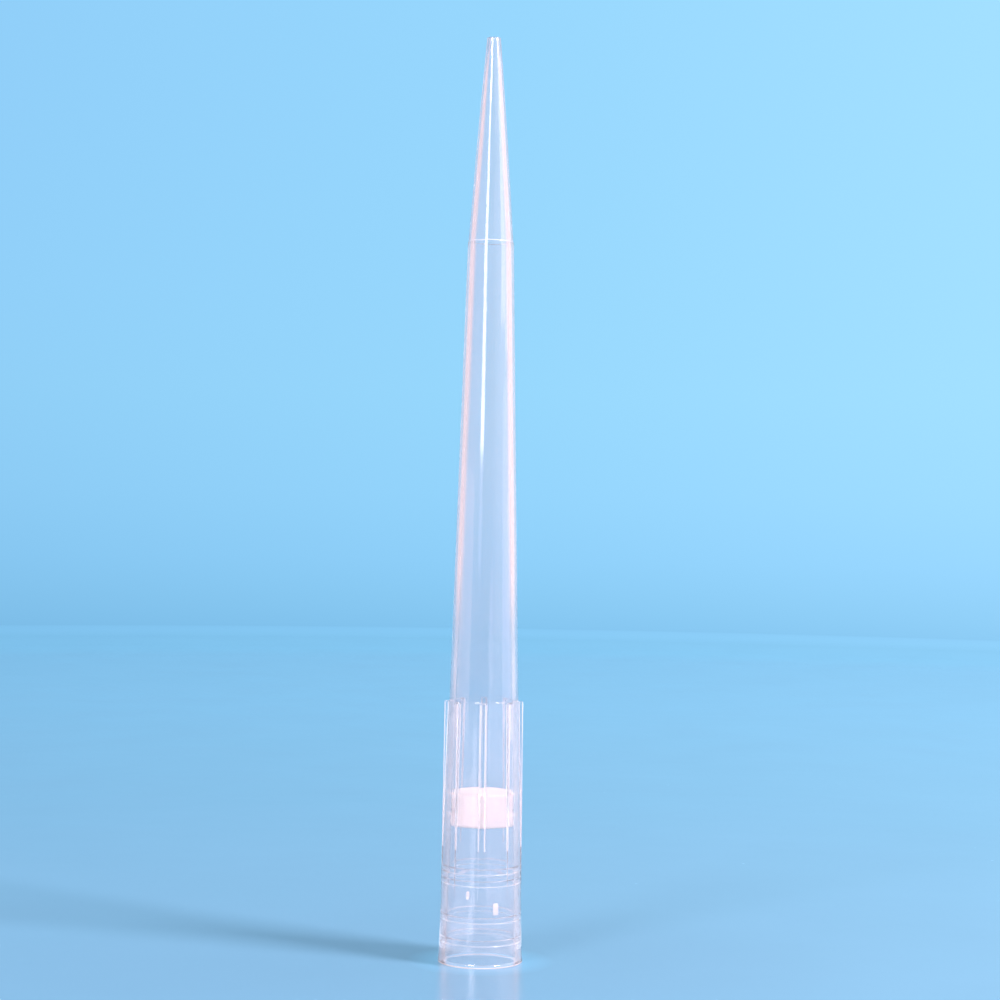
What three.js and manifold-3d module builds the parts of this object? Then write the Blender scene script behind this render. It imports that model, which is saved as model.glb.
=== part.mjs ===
// Filter pipette tip, long pattern, for a 1000 microlitre pipette.
//
// Two pieces, as the real one is made:
//   tip_body     one clear polypropylene moulding: hub with ribs and bore rings, long cone, nose
//   filter_plug  a sintered white polyethylene plug, pushed into the hub's bore
//
// Millimetres. The tip stands on its rim: Z = 0 is the rim's flat underside, the axis is +Z,
// and the orifice is at the top.

import * as THREE from 'three';
import { mergeVertices } from 'three/addons/utils/BufferGeometryUtils.js';
import Module from 'manifold-3d';

// ---------------------------------------------------------------- driving dimensions

// Outer form
const tipLength = 96.5; // rim plane to orifice plane
const noseLength = 21.4; // steeper end, from the step to the orifice
const noseTipLength = 10.9; // its last and steepest stretch
const rimConeRadius = 4.31; // the long cone, carried down to the rim plane
const coneEndRadius = 2.405; // the long cone where the nose begins
const noseStep = 0.05; // how far the nose is set back from the cone
const noseBendRadius = 1.605; // where the nose turns steeper
const orificeOuterRadius = 0.715;
const mouldStepLength = 0.06; // height over which a step between mould parts runs out

// Wall and bore
const wall = 0.6; // hub and cone, measured across
const orificeBoreRadius = 0.42;
const orificeEdge = 0.06; // chamfer of the orifice's outer edge

// Rim
const lipRadius = 4.44; // just under the 4.5 of a rack with 9 mm between tips
const lipHeight = 0.95; // the lip flares out over this height
const lipRound = 0.15; // round of its lower edge
const mouthChamfer = 0.12; // lead-in for the pipette's nose, across
const mouthChamferHeight = 0.35;

// Ribs that carry the tip in its rack
const ribCount = 8;
const ribWidth = 0.6;
const ribTopHeight = 27.2; // the ribs' upper ends, which sit on the rack's plate
const ribTopProud = 0.44; // how far a rib stands out of the wall at its upper end
const ribFootHeight = 7.1; // where the widening cone has swallowed the ribs
const ribRunIn = 1; // length of rib that is buried in the wall below that height
const ribCorner = 0.12; // round of each rib's upper outer corner
const collarStep = 0.05; // the hub stands out from the cone by this much at the ribs' ends

// Low rings inside the hub: two pairs seal on the pipette's nose, a third pair grips the filter
const ringWidth = 0.68; // along the bore, between a ring's outer edges
const ringHeight = 0.05;
const ringFlank = 0.12; // length over which each of its sides rises
const lowerSealFoot = 2.12; // lower edge of the pair, above the rim
const lowerSealGap = 1.65; // bare bore between the pair's two rings
const upperSealFoot = 8.22;
const upperSealGap = 0.54;
const gripLap = 0.2; // the upper grip ring's lower edge, below the filter's upper face
const gripGap = 1.44;

// Filter
const filterTopHeight = 17.77; // its upper face, above the rim
const filterHeight = 3.5;
const filterEdge = 0.25; // round of both edges
const filterClearance = 0.02; // all round, at the crest that grips it

// Fineness
const turnSegments = 64;
const arcSegments = 3;

// ---------------------------------------------------------------- derived sizes

const noseStart = tipLength - noseLength;
const taper = (rimConeRadius - coneEndRadius) / noseStart;
const coneRadiusAt = (z) => rimConeRadius - taper * z;
const hubRadiusAt = (z) => coneRadiusAt(z) + collarStep;
const boreRadiusAt = (z) => coneRadiusAt(z) - wall;

const gripFoot = filterTopHeight - gripLap - gripGap - ringWidth;
const filterRadius = boreRadiusAt(filterTopHeight) - ringHeight - filterClearance;

// ---------------------------------------------------------------- helpers

const point = (r, z) => new THREE.Vector2(r, z);

// A quarter round about a centre, from one angle to another, both in radians.
function arc(centreR, centreZ, radius, from, to) {
  const points = [];
  for (let i = 0; i <= arcSegments; i += 1) {
    const angle = from + ((to - from) * i) / arcSegments;
    points.push(point(centreR + radius * Math.cos(angle), centreZ + radius * Math.sin(angle)));
  }
  return points;
}

// Revolves a half section about the axis. LatheGeometry turns about Y, so Y is laid along Z.
function revolve(section) {
  const geometry = new THREE.LatheGeometry(section, turnSegments);
  geometry.rotateX(Math.PI / 2);
  return geometry;
}

// The outline of one ring on the bore, from its upper edge down to its foot.
function ring(foot) {
  const top = foot + ringWidth;
  return [
    point(boreRadiusAt(top), top),
    point(boreRadiusAt(top - ringFlank) - ringHeight, top - ringFlank),
    point(boreRadiusAt(foot + ringFlank) - ringHeight, foot + ringFlank),
    point(boreRadiusAt(foot), foot),
  ];
}

// Two rings, the upper one first, with bare bore between them.
function ringPair(foot, gap) {
  return [...ring(foot + ringWidth + gap), ...ring(foot)];
}

// ---------------------------------------------------------------- tip body

// Half section of the wall, up the outside and back down the bore, closed on itself.
function wallSection() {
  const mouthRadius = boreRadiusAt(0) + mouthChamfer;
  const section = [
    point(mouthRadius, 0),
    ...arc(lipRadius - lipRound, lipRound, lipRound, -Math.PI / 2, 0),
    point(hubRadiusAt(lipHeight), lipHeight),
    point(hubRadiusAt(ribTopHeight), ribTopHeight),
    point(coneRadiusAt(ribTopHeight + mouldStepLength), ribTopHeight + mouldStepLength),
    point(coneEndRadius, noseStart),
    point(coneEndRadius - noseStep, noseStart + mouldStepLength),
    point(noseBendRadius, tipLength - noseTipLength),
    point(orificeOuterRadius, tipLength - orificeEdge),
    point(orificeOuterRadius - orificeEdge, tipLength),
    point(orificeBoreRadius, tipLength),
    point(boreRadiusAt(noseStart), noseStart),
    ...ringPair(gripFoot, gripGap),
    ...ringPair(upperSealFoot, upperSealGap),
    ...ringPair(lowerSealFoot, lowerSealGap),
    point(boreRadiusAt(mouthChamferHeight), mouthChamferHeight),
    point(mouthRadius, 0),
  ];
  return section;
}

// One rib: its side view, from the middle of the wall to its face, pushed out to its width. The
// face runs nearly upright from the rib's upper end to the height where the cone, widening
// towards the rim, reaches it, and a little further inside the wall.
function ribGeometry() {
  const faceTop = hubRadiusAt(ribTopHeight) + ribTopProud;
  const faceLean = (hubRadiusAt(ribFootHeight) - faceTop) / (ribTopHeight - ribFootHeight);
  const faceRadiusAt = (z) => faceTop + faceLean * (ribTopHeight - z);
  const midWallAt = (z) => boreRadiusAt(z) + wall / 2;
  const foot = ribFootHeight - ribRunIn;
  const cornerRadius = faceTop - ribCorner;
  const cornerHeight = ribTopHeight - ribCorner;

  const side = new THREE.Shape();
  side.moveTo(midWallAt(foot), foot);
  side.lineTo(faceRadiusAt(foot), foot);
  for (const p of arc(cornerRadius, cornerHeight, ribCorner, 0, Math.PI / 2)) {
    side.lineTo(p.x, p.y);
  }
  side.lineTo(midWallAt(ribTopHeight), ribTopHeight);
  side.closePath();

  const geometry = new THREE.ExtrudeGeometry(side, { depth: ribWidth, bevelEnabled: false });
  geometry.translate(0, 0, -ribWidth / 2);
  geometry.rotateX(Math.PI / 2);
  return geometry;
}

// ---------------------------------------------------------------- joining solids

const wasm = await Module();
wasm.setup();

function toSolid(geometry) {
  const bare = geometry.clone();
  bare.deleteAttribute('normal');
  bare.deleteAttribute('uv');
  const merged = mergeVertices(bare, 1e-5);
  const mesh = new wasm.Mesh({
    numProp: 3,
    vertProperties: new Float32Array(merged.attributes.position.array),
    triVerts: new Uint32Array(merged.index.array),
  });
  return new wasm.Manifold(mesh);
}

function toGeometry(solid) {
  const mesh = solid.getMesh();
  const geometry = new THREE.BufferGeometry();
  geometry.setAttribute('position', new THREE.BufferAttribute(mesh.vertProperties, mesh.numProp));
  geometry.setIndex(new THREE.BufferAttribute(mesh.triVerts, 1));
  geometry.computeVertexNormals();
  return geometry;
}

function tipBodyGeometry() {
  let body = toSolid(revolve(wallSection()));
  for (let i = 0; i < ribCount; i += 1) {
    const rib = ribGeometry();
    rib.rotateZ((i * 2 * Math.PI) / ribCount - Math.PI / 2);
    body = body.add(toSolid(rib));
  }
  return toGeometry(body);
}

// ---------------------------------------------------------------- filter plug

function filterPlugGeometry() {
  const foot = filterTopHeight - filterHeight;
  const edgeCentre = filterRadius - filterEdge;
  return revolve([
    point(0, foot),
    ...arc(edgeCentre, foot + filterEdge, filterEdge, -Math.PI / 2, 0),
    ...arc(edgeCentre, filterTopHeight - filterEdge, filterEdge, 0, Math.PI / 2),
    point(0, filterTopHeight),
  ]);
}

// ---------------------------------------------------------------- scene graph

function piece(name, geometry, look) {
  const mesh = new THREE.Mesh(geometry, new THREE.MeshStandardMaterial(look));
  mesh.name = name;
  return mesh;
}

const clearPolypropylene = {
  color: 0xdfe6f2,
  roughness: 0.12,
  metalness: 0,
  transparent: true,
  opacity: 0.4,
};
const porousPolyethylene = { color: 0xf7f1f3, roughness: 0.9, metalness: 0 };

const group = new THREE.Group();
group.add(piece('tip_body', tipBodyGeometry(), clearPolypropylene));
group.add(piece('filter_plug', filterPlugGeometry(), porousPolyethylene));

export default group;
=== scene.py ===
# %% [markdown]
# # A filter pipette tip
# The real thing is two pieces. A clear polypropylene moulding tapers from a rim that a pipette's
# nose is pushed into, up to an orifice under a millimetre wide. A white porous plug sits in its
# bore and keeps spray out of the pipette. The tip stands on its rim here, orifice up.
#
# Nothing on it is painted, so all that the eye gets is thin walls, small steps and the light
# that they bend. The lesson builds the wall at its true thickness and lets Cycles do the rest.
# The frame gives the imported model in metres, with the rim's underside at Z = 0. The boxes of
# its parts are read here, for the sizes below.

# %% Load the frame
import math

import bmesh
import bpy
from mathutils import Matrix, Vector, noise


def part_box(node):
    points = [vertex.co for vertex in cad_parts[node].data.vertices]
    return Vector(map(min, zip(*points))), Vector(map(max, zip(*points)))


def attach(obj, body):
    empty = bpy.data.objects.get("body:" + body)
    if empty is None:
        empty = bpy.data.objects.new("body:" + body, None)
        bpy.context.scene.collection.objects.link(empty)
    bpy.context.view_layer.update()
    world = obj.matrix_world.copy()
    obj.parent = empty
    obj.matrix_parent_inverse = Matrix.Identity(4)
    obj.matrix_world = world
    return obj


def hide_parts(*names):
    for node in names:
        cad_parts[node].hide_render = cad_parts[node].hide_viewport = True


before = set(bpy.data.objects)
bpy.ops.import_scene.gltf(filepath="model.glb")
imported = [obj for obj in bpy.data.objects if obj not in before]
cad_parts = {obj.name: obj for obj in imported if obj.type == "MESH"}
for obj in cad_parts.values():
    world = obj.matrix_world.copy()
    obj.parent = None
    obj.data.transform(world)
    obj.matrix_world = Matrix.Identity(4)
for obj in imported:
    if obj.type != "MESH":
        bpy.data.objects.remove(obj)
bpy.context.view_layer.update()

# %% [markdown]
# ## Sizes
# The frame already knows the length, the rim and the plug, so those are read from it. It can't
# say how thick a wall is, or how wide a rib. A mould maker writes such sizes in millimetres, so
# they are named once in millimetres, and turned into metres where a vertex is made.

# %% Sizes of the moulding
MM = 0.001
tip_low, tip_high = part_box("tip_body")
plug_low, plug_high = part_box("filter_plug")

TIP_LENGTH = tip_high.z / MM
LIP_RADIUS = tip_high.x / MM
PLUG_TOP = plug_high.z / MM
PLUG_FOOT = plug_low.z / MM
NOSE_LENGTH = 21.4
NOSE_TIP_LENGTH = 10.9
RIM_CONE_RADIUS = 4.31
CONE_END_RADIUS = 2.405
NOSE_STEP = 0.05
NOSE_BEND_RADIUS = 1.605
ORIFICE_OUTER_RADIUS = 0.715
ORIFICE_BORE_RADIUS = 0.42
WALL = 0.6
COLLAR_STEP = 0.05

NOSE_START = TIP_LENGTH - NOSE_LENGTH
TAPER = (RIM_CONE_RADIUS - CONE_END_RADIUS) / NOSE_START


def cone_radius(z):
    """The plain cone, from the rim up to the nose."""
    return RIM_CONE_RADIUS - TAPER * z


def hub_radius(z):
    """The hub's wall between the ribs, a hair proud of the cone."""
    return cone_radius(z) + COLLAR_STEP


def bore_radius(z):
    """The bore between the rings, a wall's thickness inside the cone."""
    return cone_radius(z) - WALL


print(f"tip {TIP_LENGTH:.1f} mm long, rim {2 * LIP_RADIUS:.2f} mm, taper {TAPER:.4f}")

# %% [markdown]
# ## Rings in the bore
# Low rings run round the inside of the hub in three pairs. Two pairs seal on the pipette's nose,
# and the third grips the plug. Each is a twentieth of a millimetre high, far too low to see as a
# shape. What shows is the glint on its two sides, so a ring is drawn with true flanks and small
# rounds, and never as a line painted on the wall. The pair that grips the plug is pressed into
# it, and shows hardly at all, so it is drawn half as high with longer, softer flanks.

# %% Sizes of the rings
RING_WIDTH = 0.68
RING_HEIGHT = 0.05
RING_FLANK = 0.12
RING_ROUND = 0.03
GRIP_HEIGHT = 0.025
GRIP_FLANK = 0.2
GRIP_LAP, GRIP_GAP = 0.2, 1.44
# Each pair: the lower edge of its lower ring, and the bare bore between its two rings.
RING_PAIRS = [
    (PLUG_TOP - GRIP_LAP - GRIP_GAP - RING_WIDTH, GRIP_GAP),
    (8.22, 0.54),
    (2.12, 1.65),
]
GRIP_FOOT = RING_PAIRS[0][0]


def ring_points(foot):
    """A ring's (radius, height, rounding) corners, from its upper edge down to its foot."""
    top = foot + RING_WIDTH
    grips = foot >= GRIP_FOOT
    height, flank = (GRIP_HEIGHT, GRIP_FLANK) if grips else (RING_HEIGHT, RING_FLANK)
    return [
        (bore_radius(top), top, RING_ROUND),
        (bore_radius(top - flank) - height, top - flank, RING_ROUND),
        (bore_radius(foot + flank) - height, foot + flank, RING_ROUND),
        (bore_radius(foot), foot, RING_ROUND),
    ]


def ring_feet():
    """The lower edge of every ring, from the highest ring down."""
    return [z for foot, gap in RING_PAIRS for z in (foot + RING_WIDTH + gap, foot)]


print(len(ring_feet()), "rings, their lower edges at", [round(z, 2) for z in ring_feet()], "mm")

# %% [markdown]
# ## The wall's half section
# The wall is a body of revolution, so its half section is drawn once, as a closed loop of points
# up the outside and back down the bore. Each point also says how far its corner is rounded.
# A real mould has no sharp corner anywhere, and in clear plastic each rounding is a tiny lens
# that catches a lamp, so these hundredths of a millimetre decide the look.

# %% Points of the section
LIP_HEIGHT = 0.95
LIP_ROUND = 0.15
MOUTH_CHAMFER = 0.12
MOUTH_CHAMFER_HEIGHT = 0.35
EDGE_ROUND = 0.03
NOSE_ROUND = 0.3
STEP_LENGTH = 0.06
RIB_TOP = 27.2
RIB_FOOT = 7.1
# Rows of the mesh just under the ribs' tops. They become the rounded upper edge of each rib.
RIB_TOP_ROWS = (0.12, 0.09, 0.05, 0.02)
# Rows that cut the long slopes into shorter faces. The first two begin the ribs.
HUB_ROWS = (RIB_FOOT - 0.2, RIB_FOOT, 12, 17, 22)
CONE_ROWS = (38, 50, 62)
BORE_ROWS = (62, 50, 38, 27)


def wall_section():
    """(radius, height, rounding) of the wall's corners, in millimetres."""
    nose_bend = TIP_LENGTH - NOSE_TIP_LENGTH
    collar = RIB_TOP + COLLAR_STEP
    points = [(bore_radius(0) + MOUTH_CHAMFER, 0, EDGE_ROUND)]
    points += [(LIP_RADIUS, 0, LIP_ROUND)]
    points += [(hub_radius(LIP_HEIGHT), LIP_HEIGHT, LIP_ROUND)]
    points += [(hub_radius(z), z, 0) for z in HUB_ROWS]
    points += [(hub_radius(RIB_TOP - row), RIB_TOP - row, 0) for row in RIB_TOP_ROWS]
    points += [(hub_radius(RIB_TOP), RIB_TOP, 0)]
    points += [(hub_radius(collar), collar, EDGE_ROUND)]
    points += [(cone_radius(collar), collar + STEP_LENGTH, EDGE_ROUND)]
    points += [(cone_radius(z), z, 0) for z in CONE_ROWS]
    points += [(CONE_END_RADIUS, NOSE_START, EDGE_ROUND)]
    points += [(CONE_END_RADIUS - NOSE_STEP, NOSE_START + STEP_LENGTH, EDGE_ROUND)]
    points += [(NOSE_BEND_RADIUS, nose_bend, NOSE_ROUND)]
    points += [(ORIFICE_OUTER_RADIUS, TIP_LENGTH, 2 * EDGE_ROUND)]
    points += [(ORIFICE_BORE_RADIUS, TIP_LENGTH, EDGE_ROUND)]
    points += [(bore_radius(NOSE_START), NOSE_START, NOSE_ROUND)]
    points += [(bore_radius(z), z, 0) for z in BORE_ROWS]
    for foot in ring_feet():
        points += ring_points(foot)
    points += [(bore_radius(MOUTH_CHAMFER_HEIGHT), MOUTH_CHAMFER_HEIGHT, EDGE_ROUND)]
    return points


section = wall_section()
print(len(section), "corners in the wall's section")

# %% [markdown]
# ## From section to solid
# Two operators do the work. A vertex bevel rounds the corners while the section is still a bare
# wire, which is far easier to control than a bevel on the finished shell. A spin then carries
# the wire once round the Z axis, and use_merge welds its last column to its first.

# %% Round the corners and spin
COLUMNS = 384
ROUND_SEGMENTS = 3
WELD_DISTANCE = 1e-8


def wire(points, closed):
    """A bare wire through (radius, height, rounding) points in the XZ plane, corners rounded."""
    bm = bmesh.new()
    verts = [bm.verts.new((r * MM, 0, z * MM)) for r, z, _ in points]
    for pair in zip(verts, verts[1:]):
        bm.edges.new(pair)
    if closed:
        bm.edges.new((verts[-1], verts[0]))
    for size in sorted({rounding for _, _, rounding in points if rounding}):
        corners = [v for v, point in zip(verts, points) if point[2] == size]
        bmesh.ops.bevel(
            bm, geom=corners, offset=size * MM, offset_type="OFFSET", affect="VERTICES",
            segments=ROUND_SEGMENTS, profile=0.5, material=-1,
        )
    return bm


def spin(bm, columns):
    """Spins a wire once about Z, merges the seam and the poles, and turns the faces outward."""
    bmesh.ops.spin(
        bm, geom=bm.verts[:] + bm.edges[:], cent=(0, 0, 0), axis=(0, 0, 1), dvec=(0, 0, 0),
        angle=math.tau, steps=columns, use_merge=True, use_duplicate=False,
    )
    bmesh.ops.remove_doubles(bm, verts=bm.verts, dist=WELD_DISTANCE)
    bmesh.ops.recalc_face_normals(bm, faces=bm.faces)
    return bm


wall = spin(wire(section, closed=True), COLUMNS)
print(len(wall.faces), "faces in the spun wall")

# %% [markdown]
# ## Ribs
# Eight ribs stand on the hub, so that a hand or a rack can hold it. Boxes joined on by a boolean
# would leave slivers where each rib's face dies into the cone, and clear plastic shows every
# sliver. Here the wall's own columns are slid into the rib's shape instead: two make half of the
# flat face, three its rounded corner, one the side, and three the small fillet at its root.

# %% Shape of a rib
RIB_COUNT = 8
RIB_HALF_WIDTH = 0.3
RIB_TOP_PROUD = 0.44
RIB_CORNER = 0.12
RIB_FILLET = 0.08
RIB_DRAFT = 0.012
PER_RIB = COLUMNS // RIB_COUNT
FLAT_COLUMNS = 2
ROUND_COLUMNS = 3
SIDE_COLUMN = FLAT_COLUMNS + ROUND_COLUMNS


def rib_face(z):
    """How far from the axis the rib's flat face stands. It leans in and dies out at its foot."""
    top = hub_radius(RIB_TOP) + RIB_TOP_PROUD
    return top + (hub_radius(RIB_FOOT) - top) * (RIB_TOP - z) / (RIB_TOP - RIB_FOOT)


def rib_outline(column, wall_r, face):
    """Where a column goes, as (out, across), on one half of a rib and the wall beside it.

    Its four cases are the flat face, the rounded corner, the fillet at the root, and the wall
    that is left over, where the other columns share out what room there is.
    """
    def on_wall(across):
        return math.sqrt(wall_r ** 2 - across ** 2)

    flat = RIB_HALF_WIDTH - RIB_CORNER
    root = RIB_HALF_WIDTH + RIB_DRAFT
    rise = max(face - on_wall(root), 0.0)
    corner, fillet = min(RIB_CORNER, 0.5 * rise), min(RIB_FILLET, 0.5 * rise)
    if column <= FLAT_COLUMNS:
        across = flat * column / FLAT_COLUMNS
        return max(face, on_wall(across)), across
    if column <= SIDE_COLUMN:
        turn = math.radians(90 * (column - FLAT_COLUMNS) / ROUND_COLUMNS)
        across = flat + RIB_CORNER * math.sin(turn)
        return max(face - corner * (1 - math.cos(turn)), on_wall(across)), across
    last = SIDE_COLUMN + 1 + ROUND_COLUMNS
    if column <= last:
        turn = math.radians(90 * (column - SIDE_COLUMN - 1) / ROUND_COLUMNS)
        across = root + RIB_FILLET * (1 - math.cos(turn))
        return on_wall(across) + fillet * (1 - math.sin(turn)), across
    start, end = math.asin((root + RIB_FILLET) / wall_r), math.pi / RIB_COUNT
    angle = start + (end - start) * (column - last) / (PER_RIB / 2 - last)
    return wall_r * math.cos(angle), wall_r * math.sin(angle)


print(f"ribs {2 * RIB_HALF_WIDTH} mm wide, proud {RIB_TOP_PROUD} mm at the top, 0 at the foot")

# %% [markdown]
# Each vertex of the hub's outer wall knows its row from its height and its column from its
# angle. The four rows under the rib's top are also lifted, so that they round its upper edge.

# %% Slide the columns into ribs
NEAR = 1e-3


def pull_ribs(bm):
    """Moves the hub's outer vertices, from the ribs' feet to their tops, onto the ribs."""
    moved = 0
    for v in bm.verts:
        r, z = math.hypot(v.co.x, v.co.y) / MM, v.co.z / MM
        if abs(r - hub_radius(z)) > NEAR or not RIB_FOOT - NEAR < z < RIB_TOP + NEAR:
            continue
        column = round(math.atan2(v.co.y, v.co.x) / math.tau * COLUMNS)
        rib = round(column / PER_RIB)
        beside = column - rib * PER_RIB
        row = RIB_TOP - z
        face, height = (rib_face(z), z) if row > NEAR else (r, z)
        if NEAR < row <= RIB_TOP_ROWS[0] + NEAR:
            step = min(range(len(RIB_TOP_ROWS)), key=lambda i: abs(RIB_TOP_ROWS[i] - row))
            turn = math.radians(90 * step / (len(RIB_TOP_ROWS) - 1))
            face = rib_face(RIB_TOP) - RIB_TOP_ROWS[0] * (1 - math.cos(turn))
            height = RIB_TOP - RIB_TOP_ROWS[0] * (1 - math.sin(turn))
        out, across = rib_outline(abs(beside), r, face)
        across = math.copysign(across, beside)
        turn = rib * math.tau / RIB_COUNT
        v.co.x = (out * math.cos(turn) - across * math.sin(turn)) * MM
        v.co.y = (out * math.sin(turn) + across * math.cos(turn)) * MM
        if abs(beside) <= SIDE_COLUMN:
            v.co.z = height * MM
        moved += 1
    return moved


print(pull_ribs(wall), "vertices moved onto", RIB_COUNT, "ribs")

# %% [markdown]
# ## Shading
# Smooth shading blends the normals of neighbouring faces. Left alone it would also bend the
# light on the long flat faces beside each tiny rounding. A Weighted Normal modifier lets the
# larger face win, which is what a modeller does after any bevel.

# %% Finish a mesh
CREASE = math.radians(50)
# Fifty weighs all faces by their size alone. More favours the large ones.
LARGE_FACES_WIN = 60


def finish_mesh(bm, name):
    """Turns a bmesh into a smooth-shaded object at the origin, riding on the one body."""
    for f in bm.faces:
        f.smooth = True
    for e in bm.edges:
        e.smooth = len(e.link_faces) != 2 or e.calc_face_angle(0) < CREASE
    mesh = bpy.data.meshes.new(name)
    bm.to_mesh(mesh)
    bm.free()
    piece = bpy.data.objects.new(name, mesh)
    bpy.context.scene.collection.objects.link(piece)
    weighted = piece.modifiers.new("weighted normals", "WEIGHTED_NORMAL")
    weighted.keep_sharp = True
    weighted.weight = LARGE_FACES_WIN
    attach(piece, "root")
    return piece


tip = finish_mesh(wall, "clear_wall")
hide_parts("tip_body")
print(tip.name, len(tip.data.polygons), "faces")

# %% [markdown]
# ## The plug
# The filter is pressed from polyethylene grains and sintered, and comes out as a short cylinder
# with soft corners. In the tip it fills the tapered bore, so its side follows the bore and stops
# a hair short of the grip rings' crests. It is spun like the wall, but its wire is first cut into
# short lengths, because its grain is real relief that long faces couldn't carry.

# %% Spin the plug
PLUG_GAP = 0.028
PLUG_ROUND = 0.24
PLUG_COLUMNS = 256
GRAIN_STEP = 0.08


def plug_wire():
    """Half the plug's outline, cut into lengths short enough for its grain."""
    corners = [(0, PLUG_FOOT, 0), (bore_radius(PLUG_FOOT) - PLUG_GAP, PLUG_FOOT, PLUG_ROUND)]
    corners += [(bore_radius(PLUG_TOP) - PLUG_GAP, PLUG_TOP, PLUG_ROUND), (0, PLUG_TOP, 0)]
    bm = wire(corners, closed=False)
    for edge in bm.edges[:]:
        cuts = int(edge.calc_length() / (GRAIN_STEP * MM))
        if cuts:
            bmesh.ops.subdivide_edges(bm, edges=[edge], cuts=cuts)
    return bm


plug_mesh = spin(plug_wire(), PLUG_COLUMNS)
print(len(plug_mesh.faces), "faces in the plug")

# %% [markdown]
# The grains are a fifth of a millimetre across. A cell noise finds the nearest grain's middle for
# each vertex, and the vertex sinks with its distance from it. The noise is worked out from the
# vertex's own place, so the plug comes out the same on every run.

# %% Press the grains into it
GRAIN_SIZE = 0.2
GRAIN_DEPTH = 0.016


def press_grains(bm):
    """Sinks each vertex along its normal by how far it lies from the middle of its grain."""
    bm.normal_update()
    sunk = []
    for v in bm.verts:
        nearest = noise.voronoi(v.co / (GRAIN_SIZE * MM))[0][0]
        sunk.append((v, v.co - v.normal * min(nearest, 1.0) * GRAIN_DEPTH * MM))
    for v, place in sunk:
        v.co = place


press_grains(plug_mesh)
plug = finish_mesh(plug_mesh, "porous_plug")
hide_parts("filter_plug")
print(plug.name, [round(s / MM, 2) for s in plug.dimensions], "mm")

# %% [markdown]
# ## Two blank marks
# Near the rim of such a moulding stand a few small raised marks, cut into the mould to tell its
# cavities apart. Here they stay blank: an oval and an upright block. Each starts as a prism that
# is scaled flat, bevelled all round and bent onto the hub, because a mark that hovered or dug
# into the wall would show up at once in clear plastic.

# %% Raise the marks
MARK_PROUD = 0.05
MARK_SUNK = 0.012
MARK_EDGE = 0.02
OVAL_SIDES, BLOCK_SIDES = 32, 4
# Sides of the prism, width, height, azimuth from the front in degrees, and middle above the rim.
MARKS = [
    (OVAL_SIDES, 0.37, 0.92, -18.5, 7.5),
    (BLOCK_SIDES, 0.58, 1.2, 21.5, 6.1),
]


def raise_mark(bm, sides, width, height, azimuth, middle):
    """Adds one raised mark to a bmesh, bent onto the hub with its foot just inside the wall."""
    verts = bmesh.ops.create_cone(
        bm, cap_ends=True, cap_tris=False, segments=sides, radius1=0.5, radius2=0.5, depth=1,
    )["verts"]
    if sides == BLOCK_SIDES:
        # It starts on a corner. Turned by an eighth and grown, it is a square one unit wide.
        eighth = Matrix.Rotation(math.pi / 4, 3, "Z")
        bmesh.ops.rotate(bm, verts=verts, cent=(0, 0, 0), matrix=eighth)
        bmesh.ops.scale(bm, verts=verts, vec=(math.sqrt(2), math.sqrt(2), 1))
    bmesh.ops.translate(bm, verts=verts, vec=(0, 0, 0.5))
    bmesh.ops.scale(bm, verts=verts, vec=(width, height, MARK_PROUD + MARK_SUNK))
    edges = {e for v in verts for e in v.link_edges}
    made = bmesh.ops.bevel(
        bm, geom=list(edges), offset=MARK_EDGE, offset_type="OFFSET", affect="EDGES",
        segments=2, profile=0.5, material=-1,
    )
    for v in {v for f in made["faces"] for v in f.verts}:
        z = middle + v.co.y
        radius = hub_radius(z) - MARK_SUNK + v.co.z
        turn = math.radians(azimuth) + v.co.x / hub_radius(z)
        v.co = Vector((math.sin(turn) * radius, -math.cos(turn) * radius, z)) * MM


marks_mesh = bmesh.new()
for mark in MARKS:
    raise_mark(marks_mesh, *mark)
marks = finish_mesh(marks_mesh, "blank_marks")
print(marks.name, len(marks.data.polygons), "faces")

# %% [markdown]
# ## A short way to write nodes
# The finishes below are all made of shader nodes. One helper adds a node, sets its options and
# fills its inputs, with a number or with a wire from another node, so that a material reads from
# top to bottom in the order in which the light meets it.

# %% Node helpers
def node(tree, kind, inputs=None, **options):
    """Adds a shader node, sets its options, and fills or links its inputs."""
    made = tree.nodes.new("ShaderNode" + kind)
    for name, value in options.items():
        setattr(made, name, value)
    for key, value in (inputs or {}).items():
        if isinstance(value, bpy.types.NodeSocket):
            tree.links.new(value, made.inputs[key])
        else:
            made.inputs[key].default_value = value
    return made


def calculate(tree, operation, a, b=0.0):
    """One step of arithmetic."""
    return node(tree, "Math", {0: a, 1: b}, operation=operation).outputs["Value"]


def span(tree, value, low, high, to_low=0.0, to_high=1.0):
    """Maps low to high onto to_low to to_high, and holds it there beyond both ends."""
    inputs = {"Value": value, "From Min": low, "From Max": high}
    inputs |= {"To Min": to_low, "To Max": to_high}
    return node(tree, "MapRange", inputs).outputs["Result"]


def new_material(name):
    """A material with its node tree, its Principled shader and its Object coordinates."""
    material = bpy.data.materials.new(name)
    material.use_nodes = True
    tree = material.node_tree
    return material, tree, tree.nodes["Principled BSDF"], node(tree, "TexCoord").outputs["Object"]


def set_sockets(shader, **values):
    """Sets constants on the shader's own sockets. An underscore stands for a space."""
    for name, value in values.items():
        shader.inputs[name.replace("_", " ")].default_value = value


print("node helpers ready")

# %% [markdown]
# ## Effects that several finishes share
# Three effects turn up on nearly everything on this table. A mottle is the slow, cloudy change
# that no moulded or painted face is free of. Specks are the odd grain of dust. Drawn lines are
# the hair-fine marks along the axis that a polished mould leaves on a piece, most of all when it
# slides out. Each is a node group with named sockets, built once, and each finish sets its own
# scale and strength. They put out plain values only, which the shaders use as they need.

# %% Groups for mottle, specks and drawn lines
CLOUD_LOW, CLOUD_HIGH = 0.3, 0.7


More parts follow.
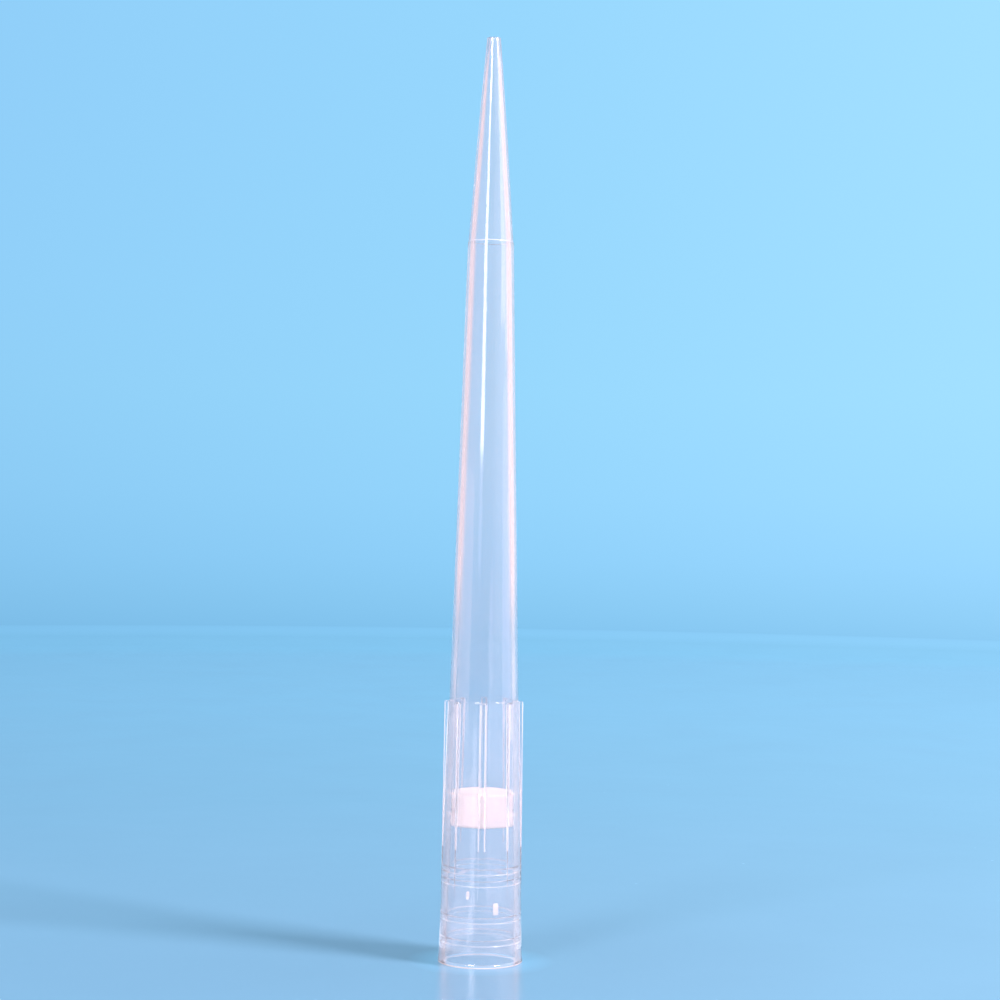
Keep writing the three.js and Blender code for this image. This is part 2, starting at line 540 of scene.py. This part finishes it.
def new_group(name, sockets, output):
    """A group with a Vector input, a number input for each named socket, and one output."""
    group = bpy.data.node_groups.new(name, "ShaderNodeTree")
    group.interface.new_socket("Vector", in_out="INPUT", socket_type="NodeSocketVector")
    for socket, value in sockets.items():
        made = group.interface.new_socket(socket, in_out="INPUT", socket_type="NodeSocketFloat")
        made.default_value = value
    group.interface.new_socket(output, in_out="OUTPUT", socket_type="NodeSocketFloat")
    given, result = group.nodes.new("NodeGroupInput"), group.nodes.new("NodeGroupOutput")
    return group, given.outputs, result.inputs


def mottle_group():
    """A soft cloud of noise, stretched to run from Low to High."""
    group, given, result = new_group("mottle", {"Scale": 100.0, "Low": 0.0, "High": 1.0}, "Value")
    inputs = {"Vector": given["Vector"], "Scale": given["Scale"], "Detail": 3.0}
    cloud = node(group, "TexNoise", inputs).outputs["Fac"]
    value = span(group, cloud, CLOUD_LOW, CLOUD_HIGH, given["Low"], given["High"])
    group.links.new(value, result["Value"])
    return group


def specks_group():
    """A dot in the middle of some cells of a cell noise. Each cell's colour is its lot."""
    group, given, result = new_group("specks", {"Scale": 500.0, "Size": 0.2, "Share": 0.1}, "Mask")
    cells = node(group, "TexVoronoi", {"Vector": given["Vector"], "Scale": given["Scale"]}).outputs
    lot = node(group, "SeparateColor", {"Color": cells["Color"]}).outputs["Red"]
    chosen = calculate(group, "LESS_THAN", lot, given["Share"])
    inside = calculate(group, "LESS_THAN", cells["Distance"], given["Size"])
    group.links.new(calculate(group, "MULTIPLY", chosen, inside), result["Mask"])
    return group


def drawn_lines_group():
    """A fine noise whose grains are pulled long, up the axis."""
    group, given, result = new_group("drawn lines", {"Scale": 1000.0, "Stretch": 0.05}, "Height")
    squeeze = node(group, "CombineXYZ", {"X": 1.0, "Y": 1.0, "Z": given["Stretch"]})
    inputs = {0: given["Vector"], 1: squeeze.outputs["Vector"]}
    place = node(group, "VectorMath", inputs, operation="MULTIPLY").outputs["Vector"]
    lines = node(group, "TexNoise", {"Vector": place, "Scale": given["Scale"], "Detail": 2.0})
    group.links.new(lines.outputs["Fac"], result["Height"])
    return group


MOTTLE, SPECKS, DRAWN_LINES = mottle_group(), specks_group(), drawn_lines_group()


def effect(tree, group, where, **values):
    """Places a shared effect in a material with its own values, and gives its one output."""
    return node(tree, "Group", {"Vector": where, **values}, node_tree=group).outputs[0]


print("groups:", ", ".join(g.name for g in (MOTTLE, SPECKS, DRAWN_LINES)))

# %% [markdown]
# ## Polypropylene in four finishes
# It is one plastic, and its look changes only with how well the mould was polished there. The
# cone is polished bright, so that no liquid clings to it. The hub is a shade duller. The small
# roundings of the ribs and rings, where no polishing stick reaches, are hazy, and that is why
# they show as fine white lines. The round under the rim, where the mould parts, is frosted. Haze
# scatters a little of the light, which a Transmission Weight under one stands for.

# %% Finishes of the moulding
PP_IOR = 1.49
POLISHED, SATIN, EDGE, FROSTED = range(4)
# Each: name, colour, clearness, lowest and highest roughness, height of its drawn lines in metres.
FINISHES = [
    ("polished polypropylene", (0.97, 0.94, 0.96), 0.966, (0.05, 0.08), 2e-6),
    ("satin polypropylene", (0.97, 0.955, 0.975), 0.938, (0.05, 0.09), 3e-6),
    ("edge polypropylene", (1.0, 0.97, 0.985), 0.73, (0.05, 0.09), 4e-6),
    ("frosted polypropylene", (1.0, 0.97, 0.985), 0.40, (0.2, 0.3), 4e-6),
]


def polypropylene(name, color, clearness, roughness, relief):
    """Clear plastic with a little haze, drawn lines and the odd grain of dust."""
    material, tree, shader, where = new_material(name)
    set_sockets(shader, Base_Color=(*color, 1), IOR=PP_IOR, Transmission_Weight=clearness)
    haze = effect(tree, MOTTLE, where, Scale=300.0, Low=roughness[0], High=roughness[1])
    lines = effect(tree, DRAWN_LINES, where, Scale=900.0, Stretch=0.06)
    dust = effect(tree, SPECKS, where, Scale=420.0, Size=0.035, Share=0.02)
    height = calculate(tree, "ADD", lines, dust)
    bump = node(tree, "Bump", {"Height": height, "Distance": relief, "Strength": 1.0})
    tree.links.new(haze, shader.inputs["Roughness"])
    tree.links.new(bump.outputs["Normal"], shader.inputs["Normal"])
    return material


for finish in FINISHES:
    tip.data.materials.append(polypropylene(*finish))
marks.data.materials.append(tip.data.materials[EDGE])
print("finishes:", ", ".join(material.name for material in tip.data.materials))

# %% [markdown]
# Which face gets which finish follows from the shape alone. A face that tilts away from the
# round wall, up or sideways, belongs to something small. The flat sides of the ribs turn fully
# sideways and are as clear as the wall, so only the roundings beside them are hazy. Low on the
# hub the ribs run out into the wall, and their roundings with them, so they are clear there too.

# %% Give each face its finish
# A face of something small leans up or down by more than TILT, or points out by less than TURNED.
TILT, TURNED = 0.15, 0.98
# The flat side of a rib points out by less than this.
SIDEWAYS = 0.25
# The outside of the wall lies within this of the cone.
SKIN = 0.15
# Heights: the frosted round under the rim, the chamfer of the mouth, and where the ribs fade.
RIM_BAND, MOUTH_BAND, RIB_FADE = 0.3, 0.5, 10.5


def finish_of(face):
    """The number of a face's finish, from where it lies and which way it points."""
    middle, normal = face.center, face.normal
    outward = Vector((middle.x, middle.y, 0)).normalized().dot(normal)
    z, radius = middle.z / MM, math.hypot(middle.x, middle.y) / MM
    outside = radius > cone_radius(z) - SKIN
    small = abs(normal.z) > TILT or abs(outward) < TURNED
    if outside and small and z < RIM_BAND:
        return FROSTED
    nose_step = outside and small and NOSE_START - NEAR < z < NOSE_START + 2 * STEP_LENGTH
    lowest = RIB_FADE if outside else MOUTH_BAND
    rounding = small and abs(outward) > SIDEWAYS and lowest < z < RIB_TOP - RIB_TOP_ROWS[0]
    if nose_step or rounding:
        return EDGE
    return SATIN if outside and z < RIB_TOP + NEAR else POLISHED


for face in tip.data.polygons:
    face.material_index = finish_of(face)
chosen = [face.material_index for face in tip.data.polygons]
print("faces polished, satin, edge, frosted:", [chosen.count(i) for i in range(len(FINISHES))])

# %% [markdown]
# ## Porous polyethylene
# Sintered grains scatter light so well that the plug is almost a pure matte white. Light even
# goes a little way in and comes out again beside where it went in, so its shadows are faint,
# and Subsurface Weight stands for that. The grain is already in its mesh. The material adds the
# finer pores between the grains, sunk, with painted shade that darkens them a little, and a
# faint change in tone, and keeps the roughness high, because nothing on it is smooth enough to
# glint.

# %% Finish of the plug
PLUG_COLORS = [(0.0, (1.0, 0.92, 0.87)), (1.0, (1.0, 0.97, 0.92))]
BLEED_DEPTH = 6e-4
PORE_DEPTH = 1e-5


def ramp(tree, value, stops):
    """A colour ramp from (position, colour) stops, read at the given value."""
    made = node(tree, "ValToRGB", {"Fac": value})
    elements = made.color_ramp.elements
    while len(elements) < len(stops):
        elements.new(1.0)
    for element, (position, color) in zip(elements, stops):
        element.position = position
        element.color = (*color, 1)
    return made.outputs["Color"]


def porous_plastic():
    """Matte white plastic with fine sunk pores, and painted shade that darkens them a little."""
    material, tree, shader, where = new_material("porous polyethylene")
    set_sockets(shader, Subsurface_Weight=0.5, Subsurface_Scale=BLEED_DEPTH)
    set_sockets(shader, Subsurface_Radius=(1.0, 0.9, 0.85))
    tone = effect(tree, MOTTLE, where, Scale=1500.0, Low=0.3, High=1.0)
    pores = effect(tree, SPECKS, where, Scale=9000.0, Size=0.35, Share=0.3)
    # Painted shade: the pores make the colour a little darker.
    color = ramp(tree, calculate(tree, "SUBTRACT", tone, pores), PLUG_COLORS)
    tree.links.new(color, shader.inputs["Base Color"])
    rough = effect(tree, MOTTLE, where, Scale=4000.0, Low=0.85, High=1.0)
    tree.links.new(rough, shader.inputs["Roughness"])
    deep = calculate(tree, "SUBTRACT", 1.0, pores)
    bump = node(tree, "Bump", {"Height": deep, "Distance": PORE_DEPTH, "Strength": 0.6})
    tree.links.new(bump.outputs["Normal"], shader.inputs["Normal"])
    return material


plug.data.materials.append(porous_plastic())
print(plug.name, "is", plug.data.materials[0].name)

# %% [markdown]
# ## The table and the sweep
# In a studio, small clear things stand on a sheet of pale blue card that lies flat under them
# and sweeps up behind without a crease. Clear plastic has no colour of its own and shows whatever
# is behind it, so the sweep is part of the tip's look. It goes all the way round, spun like the
# rest, because the wall of the tip bends light in from the sides as well.

# %% Spin the sweep
FLOOR_RADIUS = 0.45
SWEEP_RADIUS = 0.25
SWEEP_TOP = 1.6
SWEEP_COLUMNS = 128
SWEEP_SEGMENTS = 16
FLOOR_CUTS = 2


def sweep_wire():
    """Half a section of the sweep: flat floor, a quarter round, and up to its top."""
    bm = bmesh.new()
    corners = [(0, 0), (FLOOR_RADIUS + SWEEP_RADIUS, 0), (FLOOR_RADIUS + SWEEP_RADIUS, SWEEP_TOP)]
    verts = [bm.verts.new((x, 0, z)) for x, z in corners]
    for pair in zip(verts, verts[1:]):
        bm.edges.new(pair)
    bmesh.ops.bevel(
        bm, geom=[verts[1]], offset=SWEEP_RADIUS, offset_type="OFFSET", affect="VERTICES",
        segments=SWEEP_SEGMENTS, profile=0.5, material=-1,
    )
    bmesh.ops.subdivide_edges(bm, edges=list(verts[0].link_edges), cuts=FLOOR_CUTS)
    return bm


def make_sweep():
    """Spins the sweep. It is open at the top, so its floor is made to face up."""
    bm = spin(sweep_wire(), SWEEP_COLUMNS)
    lowest = min(bm.faces, key=lambda f: f.calc_center_median().z)
    if lowest.normal.z < 0:
        bmesh.ops.reverse_faces(bm, faces=bm.faces)
    for f in bm.faces:
        f.smooth = True
    mesh = bpy.data.meshes.new("studio_sweep")
    bm.to_mesh(mesh)
    bm.free()
    made = bpy.data.objects.new("studio_sweep", mesh)
    bpy.context.scene.collection.objects.link(made)
    return made


sweep = make_sweep()
print(sweep.name, len(sweep.data.polygons), "faces")

# %% [markdown]
# The card is lit by lamps of its own, out of sight, that make it brighter towards its top and its
# right. Rather than real lamps, whose light would spill onto the tip, the card gives off that
# light itself: a colour ramp runs over the distance along the card, out from the tip and then up,
# and two more tint it from left to right, one low down and one high up. Inside the rim and under
# it the card glows a little more, because light that runs down in a clear wall lands there.

# %% The card's own light
# Metres along the card, counted from the tip's axis, and the glow there.
# The first two stops are painted light inside the rim, where light that runs down the wall lands.
CARD_GLOW = [
    (0.0038, (0.020, 0.100, 0.170)),
    (0.0046, (0.000, 0.000, 0.000)),
    (0.015, (0.000, 0.000, 0.006)),
    (0.045, (0.008, 0.030, 0.050)),
    (0.126, (0.008, 0.055, 0.090)),
    (0.300, (0.033, 0.120, 0.190)),
    (0.450, (0.045, 0.145, 0.225)),
    (0.470, (0.078, 0.245, 0.380)),
    (0.492, (0.136, 0.367, 0.571)),
    (0.510, (0.231, 0.561, 0.872)),
    (0.547, (0.252, 0.594, 0.907)),
    (0.590, (0.274, 0.630, 0.955)),
    (0.650, (0.296, 0.662, 0.980)),
    (0.732, (0.310, 0.685, 0.985)),
    (0.900, (0.310, 0.680, 0.990)),
]
# The tints run from the card's left edge to its right.
CARD_TINT_LOW = [(0.0, (0.83, 0.86, 0.89)), (0.5, (1.0, 1.0, 1.0)), (1.0, (1.25, 1.13, 1.09))]
CARD_TINT_HIGH = [(0.0, (0.89, 0.90, 0.95)), (0.5, (1.0, 1.0, 1.0)), (1.0, (1.23, 1.12, 1.04))]
# The ring of painted light under the rim, between its soft inner edge and its soft outer one.
UNDER_RIM_INNER, UNDER_RIM_OUTER = (0.0036, 0.0038), (0.0042, 0.0044)
PAINTED_RIM_LIGHT = (0.60, 0.60, 0.68, 1)
# Along the card: where the floor's own colour begins to fade, where it is gone, and where the
# card stands upright enough for the room to begin beside it.
CARD_FROM, CARD_TO, WALL_TO = 0.45, 0.51, 0.60


def mix(tree, blend, share, a, b):
    """Blends two colours in one of the usual blend modes."""
    inputs = {"Factor": share, "A": a, "B": b}
    return node(tree, "Mix", inputs, data_type="RGBA", blend_type=blend).outputs["Result"]


def card_light(tree, along, side):
    """The card's glow, tinted from left to right, with a ring of painted light under the rim."""
    high = span(tree, along, WALL_TO, SWEEP_TOP / 2)
    low_tint, high_tint = ramp(tree, side, CARD_TINT_LOW), ramp(tree, side, CARD_TINT_HIGH)
    tint = mix(tree, "MIX", high, low_tint, high_tint)
    glow = mix(tree, "MULTIPLY", 1.0, ramp(tree, along, CARD_GLOW), tint)
    from_inside = span(tree, along, *UNDER_RIM_INNER)
    to_outside = span(tree, along, *UNDER_RIM_OUTER, 1.0, 0.0)
    # Painted light: a pool of light under the rim, where light that runs down the clear wall
    # lands.
    painted_rim_light = calculate(tree, "MULTIPLY", from_inside, to_outside)
    return mix(tree, "MIX", painted_rim_light, glow, PAINTED_RIM_LIGHT)


print("card glows from", CARD_GLOW[0][0], "to", CARD_GLOW[-1][0], "m along it")

# %% [markdown]
# The blue card is only as wide as the lens needs. Beyond its edges, above the floor, the same
# sweep stands for the room: pale and pink at the sides, and darker behind the lens, where a
# studio has no light on. How far a point has swung from straight behind the tip decides which.

# %% Light of the room round the card
ROOM_FROM, ROOM_TO = math.radians(18), math.radians(29)
ROOM_COLORS = [(0.0, (0.91, 0.76, 0.84)), (1.0, (1.12, 0.95, 1.00))]
FRONT_FROM, FRONT_TO = math.radians(130), math.radians(160)
FRONT_COLOR = (0.62, 0.47, 0.48, 1)


def sweep_light(tree, place, along, side):
    """The light that the whole sweep gives off, card and room."""
    glow = card_light(tree, along, side)
    swing = calculate(tree, "ABSOLUTE", calculate(tree, "ARCTAN2", place["X"], place["Y"]))
    beyond = span(tree, swing, ROOM_FROM, ROOM_TO)
    upright = span(tree, along, CARD_TO, WALL_TO)
    front = span(tree, swing, FRONT_FROM, FRONT_TO)
    room = mix(tree, "MIX", front, ramp(tree, side, ROOM_COLORS), FRONT_COLOR)
    return mix(tree, "MIX", calculate(tree, "MULTIPLY", beyond, upright), glow, room)


print("room from", round(math.degrees(ROOM_TO)), "degrees off the middle of the card")

# %% [markdown]
# Only the floor also takes light from the lamps in the scene, so only it can carry shadows. Its
# base colour is that of the card, with painted light that darkens it at the left and brightens
# it at the right, and fades to black where the sweep turns up. It is faintly mottled and has
# specks of dust, as card has, and it mirrors the foot of the tip a little. The sweep is too
# large and dim to be worth sampling as a lamp. It is hidden from matte surfaces too, which take
# their even light from the room's fill instead.

# %% Finish of the sweep
CARD_COLOR = (0.158, 0.334, 0.474)
CARD_HALF_WIDTH = 0.25
CARD_GLOSS = 0.5
# Painted light on the floor's base colour: darker at its left, brighter at its right.
FLOOR_PAINTED_LIGHT = [(0.0, (0.84, 0.88, 0.89)), (1.0, (1.11, 1.07, 1.07))]
DUST_SHOWS = 0.35


def floor_color(tree, where, along, side):
    """The card's colour on the floor, with painted light from left to right, mottled and dusty."""
    fade = ramp(tree, along, [(CARD_FROM, CARD_COLOR), (CARD_TO, (0, 0, 0))])
    # Painted light: the floor's colour is darkened at the left and brightened at the right.
    fade = mix(tree, "MULTIPLY", 1.0, fade, ramp(tree, side, FLOOR_PAINTED_LIGHT))
    tone = effect(tree, MOTTLE, where, Scale=35.0, Low=0.98, High=1.02)
    dust = effect(tree, SPECKS, where, Scale=260.0, Size=0.05, Share=0.03)
    tone = calculate(tree, "ADD", tone, calculate(tree, "MULTIPLY", dust, DUST_SHOWS))
    return mix(tree, "MULTIPLY", 1.0, fade, tone)


def card():
    """The sweep's material. Along runs out over the floor and then up, side from left to right."""
    material, tree, shader, where = new_material("pale blue card")
    place = node(tree, "SeparateXYZ", {"Vector": where}).outputs
    flat = node(tree, "VectorMath", {0: where, 1: (1, 1, 0)}, operation="MULTIPLY")
    out = node(tree, "VectorMath", {0: flat.outputs["Vector"]}, operation="LENGTH")
    along = calculate(tree, "ADD", out.outputs["Value"], place["Z"])
    side = span(tree, place["X"], -CARD_HALF_WIDTH, CARD_HALF_WIDTH)
    rough = effect(tree, MOTTLE, where, Scale=60.0, Low=0.2, High=0.24)
    gloss = span(tree, along, CARD_FROM, CARD_TO, CARD_GLOSS, 0.0)
    tree.links.new(sweep_light(tree, place, along, side), shader.inputs["Emission Color"])
    tree.links.new(floor_color(tree, where, along, side), shader.inputs["Base Color"])
    tree.links.new(rough, shader.inputs["Roughness"])
    tree.links.new(gloss, shader.inputs["Specular IOR Level"])
    set_sockets(shader, Emission_Strength=1.0)
    material.cycles.emission_sampling = "NONE"
    return material


sweep.data.materials.append(card())
sweep.visible_diffuse = False
print(sweep.name, "is", sweep.data.materials[0].name)

# %% [markdown]
# ## Panels and cards round the tip
# Clear things are lit with a few tall, narrow panels, because a tube mirrors each panel as one
# line along its length: a bright one at the left, a broad soft one at the right. The lens looks
# down on the hub, which therefore mirrors the table and not the room, so there white cards that
# lie flat do the same work. The light leans to pink, as the fill in a pale room does, and that
# is what tints the edges of the plastic.

# %% Ways to place a panel
LEFT_COLOR = (1.0, 0.88, 0.98)
RIGHT_COLOR = (1.0, 0.74, 0.90)
LOW_COLOR = (1.0, 0.55, 0.40)
TABLE_COLOR = (0.3, 0.8, 1.0)
ROOM_COLOR = (1.0, 0.86, 0.93)
FAR_OFF, CLOSER = 0.6, 0.42
CARD_LIFT = 0.001


def panel(name, place, aim, size, radiance, color):
    """A rectangular area light. Radiance is how bright it looks, whatever its size."""
    data = bpy.data.lights.new(name, "AREA")
    data.shape = "RECTANGLE"
    data.size, data.size_y = size
    data.energy = 4 * radiance * size[0] * size[1]
    data.color = color
    lamp = bpy.data.objects.new(name, data)
    bpy.context.scene.collection.objects.link(lamp)
    lamp.location = place
    lamp.rotation_euler = (Vector(aim) - lamp.location).to_track_quat("-Z", "Y").to_euler()
    lamp.visible_camera = False
    return lamp


def upright_panel(name, azimuth, width, low, high, radiance, color, away=FAR_OFF):
    """An upright panel facing the tip. Azimuth 0 is the camera's side, positive right."""
    turn, z = math.radians(azimuth), (low + high) / 2
    place = (math.sin(turn) * away, -math.cos(turn) * away, z)
    return panel(name, place, (0, 0, z), (width, high - low), radiance, color)


def table_card(name, azimuth, spread, near, far, radiance, color):
    """A card that lies on the table, facing up, from near to far and some degrees wide."""
    middle, turn = (near + far) / 2, math.radians(azimuth)
    place = (math.sin(turn) * middle, -math.cos(turn) * middle, CARD_LIFT)
    width = 2 * middle * math.tan(math.radians(spread) / 2)
    lamp = panel(name, place, (*place[:2], 1), (width, far - near), radiance, color)
    # It shines up, and its width lies square to the way out from the tip.
    lamp.rotation_euler = (math.pi, 0, turn)
    return lamp


print("panels stand", FAR_OFF, "or", CLOSER, "m from the tip")

# %% [markdown]
# The tip only mirrors the panels in the first list. Those in the second are also seen through
# its wall, which bends the table and the room into view from far to the sides. A card that
# widens outwards is laid as a row of short ones, each wider than the last. Light linking keeps
# all of them off the table, so that each can be set for the plastic alone.

# %% Set up the panels and cards
# Panels: azimuth, width, lower and upper edge, radiance. Cards: azimuth, spread, near and far
# edge, radiance. Angles are in degrees and lengths in metres.
mirrored = [
    upright_panel("left_strip", -23, 0.15, 0.095, 0.36, 12.0, LEFT_COLOR),
    upright_panel("left_strip_foot", -23, 0.12, 0.0, 0.095, 1.2, LEFT_COLOR),
    upright_panel("left_low_panel", -75, 0.40, 0.0, 0.074, 1.4, LOW_COLOR, CLOSER),
    upright_panel("right_panel", 84, 0.19, 0.125, 0.80, 2.3, RIGHT_COLOR),
    upright_panel("right_panel_front", 64.5, 0.22, 0.140, 0.80, 4.2, RIGHT_COLOR),
    upright_panel("right_low_panel", 82, 0.28, 0.0, 0.098, 1.4, RIGHT_COLOR, CLOSER),
]
FOOT_SPREAD = 60
for azimuth in range(-180, 180, FOOT_SPREAD):
    mirrored.append(table_card("foot_card", azimuth, FOOT_SPREAD, 0.006, 0.02, 0.45, ROOM_COLOR))
seen_through = [
    upright_panel("left_strip_head", -23, 0.17, 0.36, 0.56, 24.0, LEFT_COLOR),
    upright_panel("left_back_panel", -130, 0.30, 0.0, 0.014, 0.28, LOW_COLOR, CLOSER),
    upright_panel("right_back_panel", 130, 0.30, 0.0, 0.014, 0.3, LOW_COLOR, CLOSER),
    table_card("left_foot_card", -112, 80, 0.0048, 0.03, 0.06, ROOM_COLOR),
    table_card("right_foot_card", 112, 80, 0.0048, 0.03, 0.04, ROOM_COLOR),
    table_card("back_foot_card", 180, 50, 0.0048, 0.03, 0.025, TABLE_COLOR),
]
# The row of short cards runs out from the tip over these distances.
ROW = (0.008, 0.02, 0.045, 0.10, 0.22, 0.50)
for near, far in zip(ROW, ROW[1:]):
    seen_through.append(table_card("streak_card", -27, 15, near, far, 1.35, LEFT_COLOR))
    seen_through.append(table_card("left_card", -58, 50, near, far, 0.5, LEFT_COLOR))

tip_only = bpy.data.collections.new("lit by the panels and cards")
for piece in (tip, plug, marks):
    tip_only.objects.link(piece)
for lamp in mirrored + seen_through:
    lamp.light_linking.receiver_collection = tip_only
    lamp.visible_transmission = lamp in seen_through
print(len(mirrored), "panels and cards mirrored,", len(seen_through), "also seen through the wall")

# %% [markdown]
# ## Softboxes and the room
# Two square softboxes above, one on each side, light the table. Each throws one soft shadow of
# the tip: a dark one to the left and a faint one to the right. The room adds an even fill of
# pale pink, which the world's plain background stands for.

# %% Light the table
SOFTBOX = (0.14, 0.14)
ROOM_FILL = 0.60
panel("right_softbox", (0.378, -0.193, 0.424), (0, 0, 0.02), SOFTBOX, 57.0, ROOM_COLOR)
panel("left_softbox", (-0.25, -0.37, 0.45), (0, 0, 0.03), SOFTBOX, 16.0, ROOM_COLOR)
world = bpy.data.worlds.new("pale room")
world.use_nodes = True
set_sockets(world.node_tree.nodes["Background"], Color=(*ROOM_COLOR, 1), Strength=ROOM_FILL)
world.cycles.sampling_method = "NONE"
bpy.context.scene.world = world
print("2 softboxes, and a room of", ROOM_COLOR)

# %% [markdown]
# ## Camera
# The lens is a long one, level with the middle of the tip, and rolled by under a degree, so the
# tip leans a hair. Light crosses many faces of clear wall on its way to the lens, and bounces
# along inside the wall as in a glass fibre, so Cycles gets far more bounces than usual: each path
# that is cut short would leave a black line along an edge. The glints of the panels come by such
# long ways too, so the clamp on indirect light is set high enough to keep them.

# %% Place the camera
CAMERA_PLACE = (0.00136, -0.235, 0.0482)
CAMERA_ROLL = math.radians(-0.88)
LENS, SENSOR_WIDTH = 80.9, 36
camera_data = bpy.data.cameras.new("camera")
camera_data.lens, camera_data.sensor_width = LENS, SENSOR_WIDTH
camera_data.clip_start = 0.01
camera = bpy.data.objects.new("camera", camera_data)
camera.location = CAMERA_PLACE
camera.rotation_euler = (math.pi / 2, CAMERA_ROLL, 0)
bpy.context.scene.collection.objects.link(camera)
bpy.context.scene.camera = camera
bpy.context.scene.view_settings.view_transform = "Standard"
cycles = bpy.context.scene.cycles
cycles.max_bounces = 40
cycles.glossy_bounces = 24
cycles.transmission_bounces = 32
cycles.diffuse_bounces = 4
cycles.sample_clamp_indirect = 30.0
print(f"camera {-CAMERA_PLACE[1] / MM:.0f} mm away, {LENS} mm lens")
